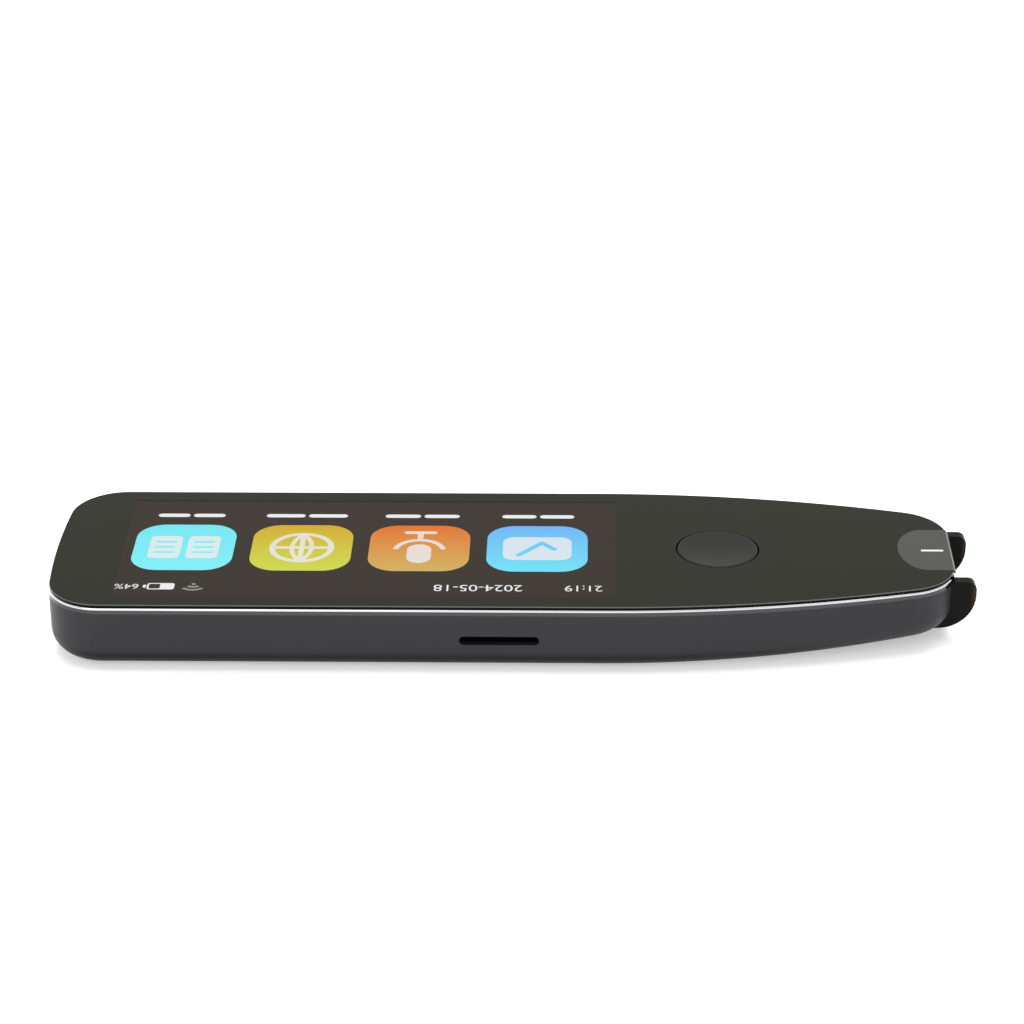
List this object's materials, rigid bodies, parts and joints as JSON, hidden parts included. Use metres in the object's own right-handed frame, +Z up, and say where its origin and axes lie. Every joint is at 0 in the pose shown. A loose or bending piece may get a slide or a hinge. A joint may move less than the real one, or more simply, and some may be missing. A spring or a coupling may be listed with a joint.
{
  "type": "handheld scanning translator",
  "caption": "Flat pen-shaped electronic translator: glass face with wide screen, dished push button, chrome trim, dark shell and a sprung scanning nose with cheeks.",
  "frame": {"origin": "centre of the overall length on the body centreline, at the resting underside", "axes": "+X toward the scanning nose, +Y to the wall with the side key, +Z up out of the screen"},
  "size_m": [0.15, 0.0418, 0.0117],
  "materials": {
    "shell": "satin",
    "trim": "polished",
    "glass": "polished",
    "window": "polished",
    "tape": "matt",
    "frame": "matt",
    "screen": "gloss",
    "flex": "satin",
    "cap": "satin",
    "switch": "matt",
    "steel": "satin",
    "hood": "gloss",
    "pane": "polished",
    "camera": "matt",
    "lens": "polished",
    "board": "satin",
    "lamp": "satin",
    "chip": "matt",
    "battery": "satin",
    "mesh": "matt",
    "speaker": "matt"
  },
  "bodies": {
    "casing": {"back_shell": "shell", "bezel_ring": "trim", "front_glass": "glass", "nose_window": "window", "glass_tape": "tape", "mid_frame": "frame", "display_panel": "screen", "display_flex": "flex", "button_switch": "steel", "power_switch": "steel", "key_flex": "flex", "trigger_switch": "steel", "scan_camera": "camera", "scan_lens": "lens", "lamp_board": "board", "scan_lamps": "lamp", "main_board": "board", "shield_cans": "steel", "board_chips": "chip", "microphone": "steel", "battery": "battery", "battery_lead": "flex", "speaker_mesh": "mesh", "speaker": "speaker", "usb_board": "board", "usb_socket": "steel", "usb_tongue": "switch", "usb_flex": "flex", "antenna": "flex", "screws": "steel"},
    "button": {"main_button": "cap", "button_plunger": "switch"},
    "key": {"power_key": "cap", "power_plunger": "switch"},
    "nose": {"scan_hood": "hood", "scan_window": "pane", "trigger_plunger": "switch"}
  },
  "joints": [
    {"name": "main_button_press", "type": "slide", "parent": "casing", "child": "button", "axis": [0, 0, -1], "range_m": [0, 0.0004], "stiffness_N_per_m": 1000, "springref_m": -0.0005},
    {"name": "side_key_press", "type": "slide", "parent": "casing", "child": "key", "axis": [0, -1, 0], "range_m": [0, 0.00025], "stiffness_N_per_m": 1000, "springref_m": -0.0005},
    {"name": "scan_nose_press", "type": "slide", "parent": "casing", "child": "nose", "axis": [-1, 0, 0], "range_m": [0, 0.0006], "stiffness_N_per_m": 800, "springref_m": -0.0006}
  ]
}
